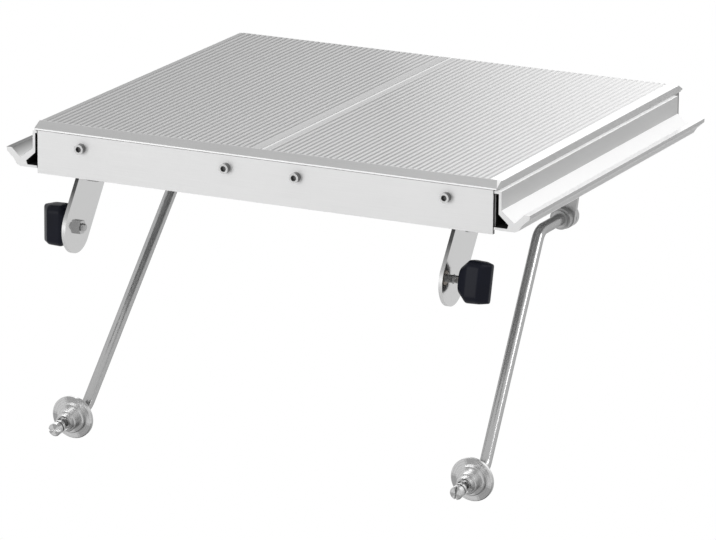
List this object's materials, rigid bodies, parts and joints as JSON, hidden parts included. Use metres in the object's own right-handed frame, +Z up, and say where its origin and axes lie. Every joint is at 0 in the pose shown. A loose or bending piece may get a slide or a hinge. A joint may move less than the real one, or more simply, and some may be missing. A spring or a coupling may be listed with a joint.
{
  "type": "table extension",
  "caption": "Ribbed aluminium table extension for a workshop saw, with grooved side rails, swinging clamp arms and bent swinging support rods.",
  "frame": {"origin": "centre of the front plate's outer face, which rests against the saw's table", "axes": "+X along the saw's edge to the right, +Y away from the saw, +Z up"},
  "size_m": [0.566, 0.4823, 0.3258],
  "materials": {
    "extruded_aluminium": "ribbed, natural anodised",
    "seam_strip": "natural anodised",
    "nosing_aluminium": "satin anodised",
    "plate_aluminium": "satin anodised",
    "rail_aluminium": "natural anodised",
    "zinc_screws": "bright zinc",
    "zinc_steel": "satin zinc",
    "arm_steel": "satin zinc",
    "rod_steel": "polished round bar",
    "foot_steel": "turned, satin zinc",
    "black_plastic": "fine moulded grain",
    "bush_plastic": "plain moulded",
    "brass_insert": "turned"
  },
  "bodies": {
    "frame": {"deck_board_left": "extruded_aluminium", "deck_board_right": "extruded_aluminium", "joint_strip": "seam_strip", "front_nosing": "nosing_aluminium", "rear_nosing": "nosing_aluminium", "front_plate": "plate_aluminium", "rear_plate": "plate_aluminium", "front_plate_screws": "zinc_screws", "rear_plate_screws": "zinc_screws", "front_crossbar": "zinc_steel", "rear_crossbar": "zinc_steel", "front_bar_screws": "zinc_screws", "rear_bar_screws": "zinc_screws", "side_rail_left": "rail_aluminium", "rail_screws_left": "zinc_screws", "arm_hanger_left": "zinc_steel", "arm_pivot_bolt_left": "zinc_screws", "arm_washers_left": "zinc_screws", "arm_pivot_nut_left": "zinc_screws", "rod_bracket_left": "zinc_steel", "rod_bush_left": "bush_plastic", "side_rail_right": "rail_aluminium", "rail_screws_right": "zinc_screws", "arm_hanger_right": "zinc_steel", "arm_pivot_bolt_right": "zinc_screws", "arm_washers_right": "zinc_screws", "arm_pivot_nut_right": "zinc_screws", "rod_bracket_right": "zinc_steel", "rod_bush_right": "bush_plastic"},
    "arm_left": {"clamp_arm_left": "arm_steel", "clamp_nut_left": "zinc_screws"},
    "stud_left": {"clamp_stud_left": "zinc_screws"},
    "knob_left": {"clamp_knob_left": "black_plastic", "knob_insert_left": "brass_insert"},
    "rod_left": {"support_rod_left": "rod_steel", "rod_clip_left": "foot_steel", "rod_collar_left": "foot_steel", "collar_screw_left": "zinc_screws", "foot_flange_left": "foot_steel", "foot_spigot_left": "foot_steel", "foot_lock_left": "foot_steel"},
    "arm_right": {"clamp_arm_right": "arm_steel", "clamp_nut_right": "zinc_screws"},
    "stud_right": {"clamp_stud_right": "zinc_screws"},
    "knob_right": {"clamp_knob_right": "black_plastic", "knob_insert_right": "brass_insert"},
    "rod_right": {"support_rod_right": "rod_steel", "rod_clip_right": "foot_steel", "rod_collar_right": "foot_steel", "collar_screw_right": "zinc_screws", "foot_flange_right": "foot_steel", "foot_spigot_right": "foot_steel", "foot_lock_right": "foot_steel"}
  },
  "joints": [
    {"name": "arm_left_swing", "type": "hinge", "parent": "frame", "child": "arm_left", "pos_m": [-0.204, 0.0338, -0.0244], "axis": [1, 0, 0], "range_deg": [0, 125]},
    {"name": "stud_left_travel", "type": "slide", "parent": "arm_left", "child": "stud_left", "axis": [-1, 0, 0], "range_m": [-0.0013, 0.0069]},
    {"name": "knob_left_turn", "type": "hinge", "parent": "stud_left", "child": "knob_left", "pos_m": [-0.206, 0.00078, -0.07086], "axis": [-1, 0, 0], "range_deg": [-374.4, 1987.2]},
    {"name": "rod_left_swing", "type": "hinge", "parent": "frame", "child": "rod_left", "pos_m": [-0.203, 0.2665, -0.0731], "axis": [0, -1, 0], "range_deg": [-40.25, 64.75]},
    {"name": "arm_right_swing", "type": "hinge", "parent": "frame", "child": "arm_right", "pos_m": [0.204, 0.0338, -0.0244], "axis": [1, 0, 0], "range_deg": [0, 125]},
    {"name": "stud_right_travel", "type": "slide", "parent": "arm_right", "child": "stud_right", "axis": [1, 0, 0], "range_m": [-0.008, 0.0002]},
    {"name": "knob_right_turn", "type": "hinge", "parent": "stud_right", "child": "knob_right", "pos_m": [0.206, 0.00078, -0.07086], "axis": [1, 0, 0], "range_deg": [-2304, 57.6]},
    {"name": "rod_right_swing", "type": "hinge", "parent": "frame", "child": "rod_right", "pos_m": [0.203, 0.2665, -0.0731], "axis": [0, 1, 0], "range_deg": [-40.25, 64.75]}
  ],
  "couplings": [
    {"joint": "knob_left_turn", "follows": "stud_left_travel", "rad_per_m": 5026.5},
    {"joint": "knob_right_turn", "follows": "stud_right_travel", "rad_per_m": 5026.5}
  ]
}
